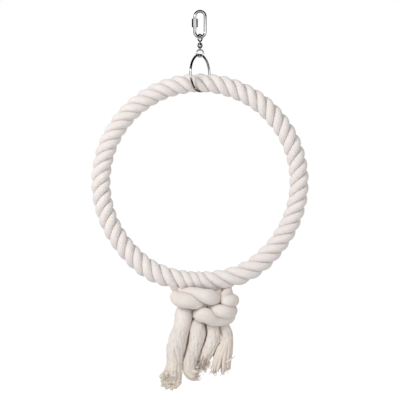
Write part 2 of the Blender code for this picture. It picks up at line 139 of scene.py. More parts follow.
def cotton_finish(name, base, shade, girth, slant, yarn_depth):
    """Undyed cotton on a strand of the given girth; slant is turns of yarn a metre."""
    finish, tree, shader = new_finish(name, base, 0.92)
    shader.inputs["Specular IOR Level"].default_value = 0.15
    shader.inputs["Sheen Weight"].default_value = 0.25
    shader.inputs["Sheen Roughness"].default_value = 0.6
    place = add_node(tree, "ShaderNodeUVMap", {"uv_map": "along"})
    turned = add_node(tree, "ShaderNodeSeparateXYZ", links={0: place.outputs[0]})
    twist = add_node(
        tree, "ShaderNodeMath", {"operation": "MULTIPLY_ADD", 1: slant},
        {0: turned.outputs["Y"], 2: turned.outputs["X"]},
    )
    yarn_count = round(girth / YARN_WIDTH)
    wave_place = add_node(tree, "ShaderNodeMath", {"operation": "MULTIPLY", 1: yarn_count * 2 * math.pi},
                          {0: twist.outputs[0]})
    wave = add_node(tree, "ShaderNodeMath", {"operation": "COSINE"}, {0: wave_place.outputs[0]})
    stretched = add_node(tree, "ShaderNodeCombineXYZ", links={0: twist.outputs[0], 1: turned.outputs["Y"]})
    fibre_map = add_node(
        tree, "ShaderNodeMapping", {"Scale": (girth / FIBRE_WIDTH, 1 / FIBRE_LENGTH, 1.0)},
        {"Vector": stretched.outputs[0]},
    )
    fibre = add_node(tree, "ShaderNodeTexNoise", {"Scale": 1.0, "Detail": 4.0, "Roughness": 0.6},
                     {"Vector": fibre_map.outputs[0]})
    here = add_node(tree, "ShaderNodeTexCoord")
    cloud = add_node(tree, "ShaderNodeTexNoise", {"Scale": 1 / CLOUD_SIZE, "Detail": 3.0, "Roughness": 0.55},
                     {"Vector": here.outputs["Object"]})
    yarn_height = add_node(tree, "ShaderNodeMath", {"operation": "MULTIPLY", 1: yarn_depth},
                           {0: wave.outputs[0]})
    height = add_node(tree, "ShaderNodeMath", {"operation": "ADD"},
                      {0: yarn_height.outputs[0], 1: fibre.outputs[0]})
    bump = add_node(tree, "ShaderNodeBump", {"Strength": 0.35, "Distance": BUMP_HEIGHT},
                    {"Height": height.outputs[0]})
    tree.links.new(bump.outputs[0], shader.inputs["Normal"])
    blotch = add_node(tree, "ShaderNodeMath", {"operation": "MULTIPLY_ADD", 1: BLOTCH, 2: BLOTCH_START},
                      {0: cloud.outputs[0]})
    streak = add_node(tree, "ShaderNodeMath", {"operation": "MULTIPLY_ADD", 1: STREAK},
                      {0: fibre.outputs[0], 2: blotch.outputs[0]})
    spread = add_node(tree, "ShaderNodeMapRange", {"From Min": 0.3, "From Max": 0.75},
                      {"Value": streak.outputs[0]})
    mix = add_node(tree, "ShaderNodeMix", {"data_type": "RGBA"}, {"Factor": spread.outputs[0]})
    mix.inputs[MIX_A].default_value = colour(base)
    mix.inputs[MIX_B].default_value = colour(shade)
    # Painted shade: the colour is mixed towards the browner tint by the attribute that carries the painted
    # shade.
    painted_shade = add_node(tree, "ShaderNodeAttribute", {"attribute_name": "painted_shade"})
    painted_shade_mix = add_node(tree, "ShaderNodeMix", {"data_type": "RGBA", MIX_B: colour(FOLD_PAINTED_SHADE_COLOUR)},
                       {"Factor": painted_shade.outputs["Fac"], MIX_A: mix.outputs[MIX_RESULT]})
    tree.links.new(painted_shade_mix.outputs[MIX_RESULT], shader.inputs["Base Color"])
    return finish


LAID_COTTON = cotton_finish(
    "laid_cotton", "#F4EEEB", "#E9E0DB", girth=31 * MM, slant=14.0, yarn_depth=0.5)
LOOSE_COTTON = cotton_finish(
    "loosened_cotton", "#F3ECE7", "#E2D7CE", girth=45 * MM, slant=5.0, yarn_depth=0.8)
FRAYED_COTTON = cotton_finish(
    "frayed_cotton", "#F2E9DF", "#DCCDBE", girth=6 * MM, slant=20.0, yarn_depth=0.6)
print("finishes:", LAID_COTTON.name, LOOSE_COTTON.name, FRAYED_COTTON.name)


# %% [markdown]
# ## Sweeping a strand
# A strand is a round bundle that follows a line. The sweep carries a cross-section along the line
# without letting it spin, so that the yarns' own twist is the only twist, and closes both ends with a
# low dome. The section is a circle or, in a loosened strand, an outline that follows its yarns.

# %% Sweep
CURVE_STEPS = 24
DOME = 0.35


def length_along(points):
    """Length of a line up to each of its points."""
    return np.concatenate([[0], np.cumsum(np.linalg.norm(np.diff(points, axis=0), axis=1))])


def even_line(points, step):
    """Points a step apart on a smooth curve through the given points; columns past xyz go along."""
    padded = np.vstack([2 * points[0] - points[1], points, 2 * points[-1] - points[-2]])
    t = np.linspace(0, 1, CURVE_STEPS, endpoint=False)[:, None]
    dense = []
    for a, b, c, d in zip(padded[:-3], padded[1:-2], padded[2:-1], padded[3:]):
        dense.append(0.5 * (
            2 * b + (c - a) * t + (2 * a - 5 * b + 4 * c - d) * t**2 + (3 * b - 3 * c + d - a) * t**3
        ))
    dense = np.vstack([*dense, points[-1:]])
    along = length_along(dense[:, :3])
    at = np.linspace(0, along[-1], max(2, round(along[-1] / step)) + 1)
    return np.column_stack([np.interp(at, along, column) for column in dense.T])


def line_frames(points):
    """Direction and two sideways axes at each point, carried along without spinning."""
    ahead = np.gradient(points, axis=0)
    ahead /= np.linalg.norm(ahead, axis=1)[:, None]
    side = np.cross(ahead[0], [0.0, 1.0, 0.0] if abs(ahead[0][1]) < 0.9 else [1.0, 0.0, 0.0])
    sides = []
    for direction in ahead:
        side = side - direction * side.dot(direction)
        side = side / np.linalg.norm(side)
        sides.append(side)
    sides = np.array(sides)
    return ahead, sides, np.cross(ahead, sides)


def sweep_arrays(points, radii, count, outline=None):
    """Vertices, faces and UVs of a strand; outline(angle, length) scales the radius."""
    ahead, side, up = line_frames(points)
    length = length_along(points)
    angle = np.linspace(0, 2 * math.pi, count, endpoint=False)
    scale = np.ones((len(points), count))
    if outline is not None:
        scale = outline(angle[None, :], length[:, None]) * scale
    reach = np.asarray(radii)[:, None] * scale
    rings = (
        points[:, None]
        + (reach * np.cos(angle))[..., None] * side[:, None]
        + (reach * np.sin(angle))[..., None] * up[:, None]
    )
    domes = []
    for end, sign in ((0, -1), (-1, 1)):
        domes.append(points[end] + sign * DOME * radii[end] * ahead[end])
    vertices = np.vstack([rings.reshape(-1, 3), domes])
    faces, uvs = [], []
    rows = len(points)
    for i in range(rows - 1):
        for j in range(count):
            k = (j + 1) % count
            faces.append((i * count + j, i * count + k, (i + 1) * count + k, (i + 1) * count + j))
            u0, u1 = j / count, (j + 1) / count
            uvs += [(u0, length[i]), (u1, length[i]), (u1, length[i + 1]), (u0, length[i + 1])]
    for end, tip in ((0, rows * count), (rows - 1, rows * count + 1)):
        for j in range(count):
            k = (j + 1) % count
            a, b = end * count + j, end * count + k
            faces.append((b, a, tip) if end == 0 else (a, b, tip))
            first, second = (k, j) if end == 0 else (j, k)
            uvs += [(first / count, length[end]), (second / count, length[end]), (0.5, length[end])]
    return vertices, faces, uvs


def mesh_piece(name, parts, painted_shade, finish):
    """One smooth mesh object from the arrays of one or more swept strands, and its painted shade values."""
    vertices, faces, uvs = [], [], []
    for part_vertices, part_faces, part_uvs in parts:
        start = len(vertices)
        vertices.extend(map(tuple, part_vertices))
        faces.extend(tuple(start + i for i in face) for face in part_faces)
        uvs.extend(part_uvs)
    mesh = bpy.data.meshes.new(name)
    mesh.from_pydata(vertices, [], faces)
    layer = mesh.uv_layers.new(name="along")
    layer.data.foreach_set("uv", np.array(uvs, dtype=np.float32).ravel())
    # The painted shade goes in as a point attribute.
    mesh.attributes.new("painted_shade", "FLOAT", "POINT").data.foreach_set("value", np.float32(painted_shade))
    mesh.polygons.foreach_set("use_smooth", [True] * len(mesh.polygons))
    mesh.materials.append(finish)
    piece = bpy.data.objects.new(name, mesh)
    bpy.context.scene.collection.objects.link(piece)
    return piece


# %% [markdown]
# ## The lay of the rope
# The three strands wind eighteen times round the hoop, right-hand laid. A twist modifier could wind
# straight strands, but the lay isn't even: beside the knot, which weighs on it, the rope bulges and is
# fuller, and where its two ends meet the lay is upset. So each strand's centre line is worked out point
# by point, as a helix on a ring.

# %% Lay
LAY_TURNS = 18
STRANDS = 3
low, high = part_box("core_hoop")
RING_Z = (low[2] + high[2]) / 2
RING_RADIUS = 113.8 * MM
ROPE_RADIUS = 11.2 * MM
LAID_RADIUS = 4.95 * MM
LAID_HELIX = ROPE_RADIUS - LAID_RADIUS
POINTS_PER_TURN = 10
FINE_POINTS_PER_TURN = 30
CUT_ANGLE = math.radians(3)
CUT_SPACING = 2 * 2 * math.pi / STRANDS / LAY_TURNS
CUT_PLACES = {"strand_1": (2, -CUT_SPACING), "strand_2": (0, 0.0), "strand_3": (1, CUT_SPACING)}
# The rope bulges outwards and is fuller on both sides of the knot, most at the sag angle.
BULGE = 2.4 * MM
FULLER = 0.07
SAG_ANGLE = math.radians(28)
SAG_REACH = math.radians(16)
# Where the ends of the rope meet, the lay is turned by up to this angle in radians.
UPSET = 1.95
UPSET_EASE = 1.3
MEETING_ANGLE = math.radians(3.0)
TIGHT_REACH = math.radians(14)
SLACK_REACH = math.radians(26)


def sag(angle):
    """Share of the outward bulge where the rope meets the knot's weight, on both sides of it."""
    off = abs(math.remainder(angle, 2 * math.pi)) - SAG_ANGLE
    return math.exp(-(off / SAG_REACH) ** 2)


def lay_point(angle, strand):
    """Centre of a strand at an angle round the ring, from its lowest point towards +X.

    The rope bulges and is fuller beside the knot, and its lay is upset where the two ends of the rope
    meet: tighter on the left, slacker on the right.
    """
    off = math.remainder(angle, 2 * math.pi) - MEETING_ANGLE
    if off < 0:
        upset = max(0, 1 + off / TIGHT_REACH) ** UPSET_EASE
    else:
        upset = math.exp(-(off / SLACK_REACH) ** 2)
    turn = LAY_TURNS * angle + 2 * math.pi * strand / STRANDS + UPSET * upset
    helix = LAID_HELIX * (1 + FULLER * sag(angle))
    reach = RING_RADIUS + BULGE * sag(angle) + helix * math.cos(turn)
    return [reach * math.sin(angle), helix * math.sin(turn), RING_Z - reach * math.cos(angle)]


def ring_line(name, points_a_turn, overrun=0.0):
    """Centre line of one strand round the ring, from its right cut end to its left one."""
    strand, cut = CUT_PLACES[name]
    start, sweep = cut + CUT_ANGLE - overrun, 2 * math.pi - 2 * CUT_ANGLE + 2 * overrun
    count = round(LAY_TURNS * points_a_turn * sweep / (2 * math.pi))
    return np.array([lay_point(start + sweep * i / count, strand) for i in range(count + 1)])


rings = {name: ring_line(name, POINTS_PER_TURN) for name in CUT_PLACES}
for name, line in rings.items():
    print(name, f"{length_along(line)[-1] / MM:.0f} mm laid")


# %% [markdown]
# ## The routes of the strand ends
# Each strand leaves the lay near the ring's lowest point, and its two ends run through the knot into a
# tail. A simulated knot would fall as it likes, so the routes are chosen from the photograph, and the
# hidden stretches are guessed. They are the ones that the imported model uses, from the lowest point of
# the ring.

# %% Routes
RING_OUTER_RADIUS = 125 * MM
RING_BOTTOM_Z = RING_Z - RING_OUTER_RADIUS
END_GAP = 0.8 * MM
LEAD_OUT = 1.5 * MM
START_STEP = 5 * MM

# A point is (x, y, z, diameter) in millimetres from the lowest point of the rope ring.
END_ROUTES = {
    "strand_1_left_end": [
        (-19.0, 2.5, -2.5, 9.8), (-25.0, -2.0, -4.0, 11.4), (-26.0, -9.0, -5.6, 14.0),
        (-22.0, -15.0, -8.6, 16.4), (-14.0, -17.5, -10.2, 17.0), (-5.5, -16.0, -12.4, 15.0),
        (2.5, -10.0, -15.0, 12.2), (8.5, -2.0, -20.0, 11.4), (12.5, 0.5, -29.0, 12.4),
        (14.5, -1.0, -40.0, 15.0), (15.8, -2.0, -51.5, 17.0), (12.0, -3.0, -64.0, 17.4),
        (6.2, -3.0, -75.0, 15.4), (3.0, -3.0, -84.0, 14.0),
    ],
    "strand_1_right_end": [
        (-20.5, 1.5, 2.0, 9.6), (-20.5, -6.0, -4.0, 11.0), (-14.5, -14.5, -1.0, 9.6),
        (-5.0, -18.5, -1.5, 11.0), (4.0, -20.5, -4.5, 14.6), (11.5, -18.5, -6.8, 17.0),
        (17.0, -11.0, -9.5, 14.4), (17.0, -1.5, -12.5, 12.0), (13.0, 6.0, -18.0, 11.2),
        (10.0, 11.0, -28.0, 11.6), (9.0, 13.5, -41.0, 13.5), (8.0, 14.0, -56.0, 14.5),
        (5.5, 12.5, -70.0, 14.5), (2.0, 11.0, -80.0, 15.0), (0.0, 10.0, -87.0, 15.0),
    ],
    "strand_2_left_end": [
        (1.0, 1.0, -2.0, 9.6), (2.5, 7.5, -6.0, 10.4), (-2.0, 11.0, -11.0, 11.0),
        (-10.0, 9.5, -15.0, 11.2), (-16.5, 4.0, -19.0, 12.8), (-18.6, -1.0, -26.5, 16.0),
        (-20.6, -3.0, -40.0, 18.6), (-25.8, -4.0, -57.0, 22.2), (-28.4, -4.0, -72.0, 22.2),
        (-29.4, -4.0, -85.0, 18.4), (-31.4, -7.5, -95.5, 20.5), (-34.5, -18.0, -103.0, 23.5),
    ],
    "strand_2_right_end": [
        (4.0, 1.0, 0.0, 9.6), (5.5, -3.5, -6.0, 10.2), (8.0, -5.5, -13.0, 10.8),
        (13.0, -6.5, -20.0, 11.4), (18.5, -15.0, -22.5, 13.6), (24.0, -18.5, -23.5, 14.4),
        (31.0, -16.5, -24.5, 14.2), (36.0, -8.0, -23.0, 13.0), (34.0, 2.5, -20.5, 11.8),
        (27.0, 7.5, -22.0, 11.4), (23.5, 6.0, -29.0, 11.4), (26.5, 2.5, -38.0, 12.4),
        (31.0, -1.0, -50.0, 13.8), (30.4, -3.0, -61.0, 15.0), (26.5, -3.0, -73.0, 19.0),
        (24.4, -3.0, -85.0, 22.0), (22.0, -3.0, -98.0, 23.0),
    ],
    "strand_3_left_end": [
        (15.0, 1.0, -1.0, 9.6), (24.0, 3.0, 0.0, 9.6), (22.5, 9.5, -4.0, 10.2), (24.0, 16.0, -10.0, 10.8),
        (30.0, 16.5, -19.0, 11.2), (34.5, 9.0, -26.0, 11.8), (33.0, 0.0, -30.0, 12.6),
        (27.0, -5.5, -30.5, 13.4), (18.5, -8.0, -29.8, 14.6), (12.0, -12.5, -27.0, 17.6),
        (6.5, -14.0, -25.0, 19.0), (3.0, -8.5, -25.5, 18.4), (-2.5, 1.0, -26.5, 13.0),
        (-9.5, 6.5, -29.5, 11.8), (-13.0, 10.0, -35.0, 12.4), (-14.0, 13.5, -50.0, 14.0),
        (-15.0, 14.0, -65.0, 14.5), (-14.0, 14.0, -80.0, 15.0),
    ],
    "strand_3_right_end": [
        (32.5, -0.5, 3.5, 9.8), (32.2, -5.0, -2.0, 12.4), (29.0, -10.5, -7.0, 13.4),
        (29.5, -15.0, -11.0, 13.6), (35.5, -14.0, -11.2, 13.8), (38.0, -6.5, -10.8, 13.2),
        (37.6, 2.5, -10.5, 12.4), (34.0, 12.0, -10.0, 11.6), (26.0, 22.0, -13.0, 11.2),
        (11.0, 23.0, -16.0, 11.2), (2.5, 16.0, -22.5, 11.2), (-1.0, 6.5, -31.0, 12.0),
        (-3.3, -1.5, -40.5, 17.4), (-3.2, -3.0, -51.0, 19.0), (-6.0, -4.0, -63.5, 17.4),
        (-9.8, -4.0, -76.0, 17.6), (-12.4, -4.0, -86.0, 16.4), (-10.0, -4.0, -94.5, 17.0),
        (-1.5, -4.0, -95.5, 17.0),
    ],
}


def end_line(name, ring):
    """Start line of a strand end, with its radius: out of its cut, then along its route."""
    cut, before = (ring[-1], ring[-2]) if name.endswith("left_end") else (ring[0], ring[1])
    out = (cut - before) / np.linalg.norm(cut - before)
    start = cut + END_GAP * out
    lead = np.array([[*start, LAID_RADIUS], [*(start + LEAD_OUT * out), LAID_RADIUS]])
    route = np.array(END_ROUTES[name]) * MM
    route[:, 2] += RING_BOTTOM_Z
    route[:, 3] /= 2
    return even_line(np.vstack([lead, route]), START_STEP)


end_lines = [end_line(name, rings[name[:len("strand_1")]]) for name in END_ROUTES]
print("routes:", len(end_lines), "strand ends")


# %% [markdown]
# ## Settling the knot
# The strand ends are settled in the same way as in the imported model: pushed apart where they would
# overlap, each push spread along its strand. The solids keep a small gap; here the soft strands press
# 3.6 mm into each other, as in a knot that has been pulled tight.

# %% Settling
SETTLE_STEP = 3.5 * MM
SETTLED_STEP = 1.2 * MM
SETTLE_ROUNDS = 9
PUSHES = 60
END_PUSH = 0.25
ROPE_PUSH = 0.4
PUSH_SPREAD = 0.2
PINNED_POINTS = 2
SELF_CLEAR = 2.5
KNOT_PRESS = 3.6 * MM
KNOT_ZONE = 0.7
NOT_ZERO = 1e-9


def push_apart(lines, obstacles):
    """Move the points of the strand ends off each other and off the rope, each push spread along."""
    count = [len(line) for line in lines]
    which = np.repeat(np.arange(len(lines)), count)
    order = np.concatenate([np.arange(n) for n in count])
    place, radius = np.vstack(lines)[:, :3], np.vstack(lines)[:, 3]
    index = np.arange(len(order))
    before = np.where(order > 0, index - 1, index)
    after = np.where(np.append(order[1:], 0) > 0, index + 1, index)
    free = (order >= PINNED_POINTS)[:, None]
    away = np.abs(order[:, None] - order) * SETTLE_STEP > SELF_CLEAR * (radius[:, None] + radius)
    need = np.where((which[:, None] != which) | away, radius[:, None] + radius - KNOT_PRESS, 0)
    need_rope = radius[:, None] + LAID_RADIUS - KNOT_PRESS
    moved = np.zeros_like(place)
    for _ in range(PUSHES):
        now = place + moved
        gap = now[:, None] - now
        far = np.linalg.norm(gap, axis=2) + NOT_ZERO
        rope_gap = now[:, None] - obstacles
        rope_far = np.linalg.norm(rope_gap, axis=2)
        push = (END_PUSH * (np.clip(need - far, 0, None) / far)[..., None] * gap).sum(1)
        overlap = np.clip(need_rope - rope_far, 0, None) / rope_far
        push += (ROPE_PUSH * overlap[..., None] * rope_gap).sum(1)
        moved += free * push
        moved = free * ((1 - 2 * PUSH_SPREAD) * moved + PUSH_SPREAD * (moved[before] + moved[after]))
    now = place + moved
    return [np.column_stack([now[which == i], radius[which == i]]) for i in range(len(lines))]


near_knot = np.vstack(list(rings.values()))
near_knot = near_knot[near_knot[:, 2] < RING_Z - KNOT_ZONE * RING_RADIUS]
for _ in range(SETTLE_ROUNDS):
    end_lines = push_apart([even_line(line, SETTLE_STEP) for line in end_lines], near_knot)
end_lines = {name: even_line(line, SETTLED_STEP) for name, line in zip(END_ROUTES, end_lines)}
for name, line in end_lines.items():
    print(name, f"{length_along(line[:, :3])[-1] / MM:.0f} mm long")


# %% [markdown]
# ## Painted shade in the folds
# Where strands lie against each other the cotton gets painted shade, a browner tint. Ambient occlusion
# could shade the folds, but it would change with what stands near. So each vertex stores painted shade
# from how close it lies to the next strand, worked out from the strands' lines.

# %% Folds
FOLD_REACH = 3.0 * MM
FOLD_BATCHES = 40
cotton_lines = {
    name: np.insert(ring_line(name, FINE_POINTS_PER_TURN), 3, LAID_RADIUS, axis=1) for name in CUT_PLACES
}
cotton_lines.update(end_lines)


# Painted shade: darker where a vertex lies close to another strand.
def painted_fold_shade(vertices, own, amount):
    """Painted shade of each vertex from how deep it lies between strands: amount on the next strand, 0 from
    FOLD_REACH off it.
    """
    others = np.vstack([
        line for name, line in cotton_lines.items()
        if not own.startswith(name) and not name.startswith(own)
    ])
    gaps = [
        (np.linalg.norm(some[:, None] - others[:, :3], axis=2) - others[:, 3]).min(1)
        for some in np.array_split(vertices, FOLD_BATCHES)
    ]
    return amount * np.clip(1 - np.concatenate(gaps) / FOLD_REACH, 0, 1) ** 2


print("folds between", len(cotton_lines), "lines")


# %% [markdown]
# ## The laid strands
# In a real rope the strands are soft and press flat against each other, so each is drawn a little
# thicker than the solid that stands for it. The rope's outside stays where it was. At the top, where the
# rope hangs on the hanger's wire, the strands are pressed thinner, which leaves room for the rope to swing.

# %% Laid strands
LAID_SIDES = 24
LUMP_WAVES = 4
LAID_LUMPS = 0.03
LAID_PACE = 17 * MM
# Painted shade in the folds between the laid strands.
LAID_PAINTED_SHADE = 0.45
OVERRUN = math.radians(0.4)
PRESSED = 0.4 * MM
PRESSED_REACH = math.radians(9)


def lumpy(seed, depth, pace):
    """Slow swelling and thinning along a hand-spun strand."""
    rng = np.random.default_rng(seed)
    phase = rng.uniform(0, 2 * math.pi, LUMP_WAVES)
    return lambda length: 1 + depth * sum(
        np.sin(2 * math.pi * length / (pace * (k + 1)) + phase[k]) for k in range(LUMP_WAVES)) / LUMP_WAVES


for number, name in enumerate(CUT_PLACES):
    line = ring_line(name, FINE_POINTS_PER_TURN, OVERRUN)
    radii = LAID_RADIUS * lumpy(number, LAID_LUMPS, LAID_PACE)(length_along(line))
    radii *= [1 + FULLER * sag(math.atan2(x, RING_Z - z)) for x, _, z in line]
    radii -= [PRESSED * math.exp(-(math.atan2(x, z - RING_Z) / PRESSED_REACH) ** 2) for x, _, z in line]
    swept = sweep_arrays(line, radii, LAID_SIDES)
    strand = mesh_piece(f"{name}_laid", [swept], painted_fold_shade(swept[0], name, LAID_PAINTED_SHADE), LAID_COTTON)
    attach(strand, "rope")
    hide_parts(name)
    print(strand.name, len(strand.data.polygons), "faces")


# %% [markdown]
# ## Knot and tails
# The strands are soft: in the knot each spreads where it is pressed, so the lobes touch. Towards its tip
# a strand loosens into yarns, and its section turns from round to a bundle with furrows. Rubbed fibres
# dent it in short streaks along it, and the dents get painted shade. The body of a tail stops short of
# the tip and narrows there, because loose locks of yarn take over.

# %% Strand ends
TAIL_LENGTH = 84 * MM
TAIL_SIDES = 64
TAIL_LUMPS = 0.05
TAIL_PACE = 23 * MM
LUMP_SEED, FRIZZ_SEED = 20, 60
LOOSENING = 0.5 * TAIL_LENGTH
BUNDLE_YARNS, BUNDLE_DEPTH, BUNDLE_TWIST = 9, 0.07, 150 * MM
FINE_YARNS, FINE_DEPTH, FINE_TWIST = 27, 0.035, 120 * MM
BODY_SHORT = 0.6
# Painted shade in the folds of the knot and tails.
TAIL_PAINTED_SHADE = 0.8
FULL_FROM = 14 * MM
NARROW_LENGTH = 9 * MM
NARROW = 0.3
FRIZZ_STEPS = 6
FRIZZ_MOST = 2
FRIZZ_DEPTH = 0.04
# Painted shade in the dents of the frizz.
FRIZZ_SHADE = 0.4
KNOT_SWELL = 1.04
FRAY_LENGTH = {
    "strand_1_left_end": 13 * MM, "strand_1_right_end": 14 * MM, "strand_2_left_end": 30 * MM,
    "strand_2_right_end": 36 * MM, "strand_3_left_end": 14 * MM, "strand_3_right_end": 13 * MM,
}
# Place along the strand and reach of a swelling in millimetres, then its amount.
SPREAD = {
    "strand_1_left_end": [],
    "strand_1_right_end": [(10, 8, 0.3), (46, 10, 0.06)],
    "strand_2_left_end": [(50, 10, 0.25)],
    "strand_2_right_end": [(10, 9, 0.35)],
    "strand_3_left_end": [(9, 10, 0.4), (80, 14, 0.24), (99, 8, -0.12)],
    "strand_3_right_end": [(10, 9, 0.2)],
}


def yarn_outline(count, depth, twist):
    """Outline of a bundle of yarns that go round the strand once in every twist metres."""
    def outline(angle, length):
        return 1 - depth * (0.5 - 0.5 * np.cos(count * (angle + 2 * math.pi * length / twist)))
    return outline


def body_end(name):
    """How far before the tip the body of a tail stops."""
    return BODY_SHORT * FRAY_LENGTH[name]


tails, tail_lines = {}, {}
for number, (name, line) in enumerate(end_lines.items()):
    points, radii = line[:, :3], line[:, 3]
    length = length_along(points)
    loosened = np.clip((length - length[-1] + TAIL_LENGTH) / LOOSENING, 0, 1)[:, None]
    start = np.clip(length / FULL_FROM, 0, 1)
    radii = LAID_RADIUS + start * (radii - LAID_RADIUS)
    radii *= 1 + start * (KNOT_SWELL - 1) * (1 - loosened[:, 0])
    for place, reach, amount in SPREAD[name]:
        radii *= 1 + amount * np.exp(-((length / MM - place) / reach) ** 2)
    radii *= lumpy(LUMP_SEED + number, TAIL_LUMPS, TAIL_PACE)(length)
    body = length < length[-1] - body_end(name)
    narrowed = 1 - NARROW * np.clip((length - length[body][-1]) / NARROW_LENGTH + 1, 0, 1) ** 2
    bundle = yarn_outline(BUNDLE_YARNS + number % 3, BUNDLE_DEPTH, BUNDLE_TWIST)
    fine = yarn_outline(FINE_YARNS + number, FINE_DEPTH, FINE_TWIST)

    frizz = np.random.default_rng(FRIZZ_SEED + number).normal(size=(TAIL_SIDES, body.sum()))
    frizz = np.array([np.convolve(row, np.ones(FRIZZ_STEPS), "same") for row in frizz]).T
    frizz = loosened[body] * np.clip(frizz / math.sqrt(FRIZZ_STEPS), 0, FRIZZ_MOST)

    def outline(angle, along, loosened=loosened[body], bundle=bundle, fine=fine, frizz=frizz):
        return 1 - loosened * (2 - bundle(angle, along) - fine(angle, along)) - FRIZZ_DEPTH * frizz

    swept = sweep_arrays(points[body], (radii * narrowed)[body], TAIL_SIDES, outline)
    # Painted shade in the folds and in the dents of the frizz.
    painted_shade = painted_fold_shade(swept[0], name, TAIL_PAINTED_SHADE)
    painted_shade[:-2] = np.maximum(painted_shade[:-2], FRIZZ_SHADE * frizz.ravel())
    tail = mesh_piece(f"{name}_strand", [swept], painted_shade, LOOSE_COTTON)
    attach(tail, "rope")
    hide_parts(name)
    tails[name], tail_lines[name] = tail, (points, radii, length)
    print(tail.name, len(tail.data.polygons), "faces")


# %% [markdown]
# ## Frayed tips
# At its tip a tail opens into locks of yarn, and each lock ends in a few single threads. The locks are
# packed like the seeds of a sunflower, which fills a round section evenly. They start inside the body
# of the tail, come out at its surface and go on to the tip, each with its own length and stray. Threads
# are drawn 0.4 mm thick, coarser than real ones, so that they show.

# %% Frays
GOLDEN_ANGLE = math.pi * (3 - math.sqrt(5))
FRAY_SEED = 40
THREAD_STEP = 1.6 * MM
# A lock starts before the loose part, and reaches the surface of the bundle over a short way.
LOCK_ROOT = 8 * MM
LOCK_RISE = 14 * MM
LOCK_INNER, LOCK_GAIN = 0.6, 0.24
LOCK_POINTS = 10
LOCK_SIDES = 20
LOCK_YARNS, LOCK_DEPTH, LOCK_TWIST = 5, 0.2, 26 * MM
LOCK_UNEVEN = (0.85, 1.2)
LOCK_DRIFT = 0.6 * MM
LOCK_WAVE, LOCK_WAVES = 0.5 * MM, 9
HOLLOW_SHARE = 0.6
HEART = 0.45
# Single threads at the tip of a lock; their lengths are in millimetres.
HAIR_LENGTH = (3, 7)
HAIR_ROOT = 3 * MM
HAIR_SPREAD = 0.3
HAIR_POINTS = (0, 0.35, 0.7, 1.0)
HAIR_THICK, HAIR_THIN, HAIR_SIDES = 0.2 * MM, 0.1 * MM, 5


def thread(points, thick, thin, sides, outline=None):
    """A tapering thread or lock along a few points."""
    line = even_line(np.array(points), THREAD_STEP)
    return sweep_arrays(line, thick + (thin - thick) * np.linspace(0, 1, len(line)) ** 3, sides, outline)


def fray(name, seed, locks=18, radius=2.0 * MM, flare=0.05, split=0.0, gather=0.0, hollow=0.0, lean=0.0,
         ragged=0.3, blunt=0.35, threads=4, frizz=0.4, shade=1.0):
    """Locks of yarn at the tip of one tail, and the painted shade of each from how deep it lies in the
    bundle.

    flare widens the bundle towards its tip, split parts it into two and gather draws each half together.
    hollow shortens the locks in the middle, lean those on the right and ragged each by chance. blunt is
    the share of its thickness that a lock keeps at its tip, frizz bends its threads and shade sets the
    painted shade on the inside of the bundle.
    """
    rng = np.random.default_rng(seed)
    points, radii, length = tail_lines[name]
    ahead = np.gradient(points, axis=0)
    ahead /= np.linalg.norm(ahead, axis=1)[:, None]
    side = np.cross(ahead, [0.0, 1.0, 0.0])
    side /= np.linalg.norm(side, axis=1)[:, None]
    front = np.cross(ahead, side)
    loose_from = length[-1] - FRAY_LENGTH[name]
    parts, painted_shade = [], []
    for k in range(locks):
        share, angle = math.sqrt((k + 0.5) / locks), k * GOLDEN_ANGLE
        short = rng.uniform(0, ragged) * FRAY_LENGTH[name] + (hollow if share < HOLLOW_SHARE else 0)
        short += lean * max(0, math.cos(angle))
        wave = rng.uniform(0, 2 * math.pi)
        first = np.searchsorted(length, loose_from - LOCK_ROOT)
        last = np.searchsorted(length, length[-1] - short) - 1
        drift = rng.normal(0, LOCK_DRIFT, 3)
        lock = []
        for row in np.unique(np.linspace(first, last, LOCK_POINTS).astype(int)):
            t = max(0.0, (length[row] - loose_from) / FRAY_LENGTH[name])
            out = min(1.0, (length[row] - length[first]) / LOCK_RISE)
            reach = radii[row] * share * (LOCK_INNER + LOCK_GAIN * out) * (1 + flare * t * t)
            across, deep = reach * math.cos(angle), reach * math.sin(angle) * (1 - gather * t * t)
            heart = math.copysign(HEART * radii[row], across)
            across = heart + (across - heart) * (1 - gather * t * t) + math.copysign(split, across) * t * t
            across += LOCK_WAVE * t * math.sin(wave + LOCK_WAVES * t)
            lock.append(points[row] + across * side[row] + deep * front[row] + drift * t)
        thick = radius * rng.uniform(*LOCK_UNEVEN)
        yarns = yarn_outline(LOCK_YARNS, LOCK_DEPTH, LOCK_TWIST)
        parts.append(thread(lock, thick, blunt * thick, LOCK_SIDES, yarns))
        # Painted shade: locks deeper inside the bundle are darker.
        painted_shade.append(np.full(len(parts[-1][0]), shade * (1 - share)))
        tip, lead = lock[-1], (lock[-1] - lock[-2]) / np.linalg.norm(lock[-1] - lock[-2])
        for _ in range(threads):
            bend, reach = rng.normal(0, frizz, 3), rng.uniform(*HAIR_LENGTH) * MM
            begin = tip - HAIR_ROOT * lead + rng.normal(0, HAIR_SPREAD * thick, 3)
            hair = [begin + reach * (t * lead + t * t * bend) for t in HAIR_POINTS]
            parts.append(thread(hair, HAIR_THICK, HAIR_THIN, HAIR_SIDES))
            painted_shade.append(np.zeros(len(parts[-1][0])))
    return parts, painted_shade


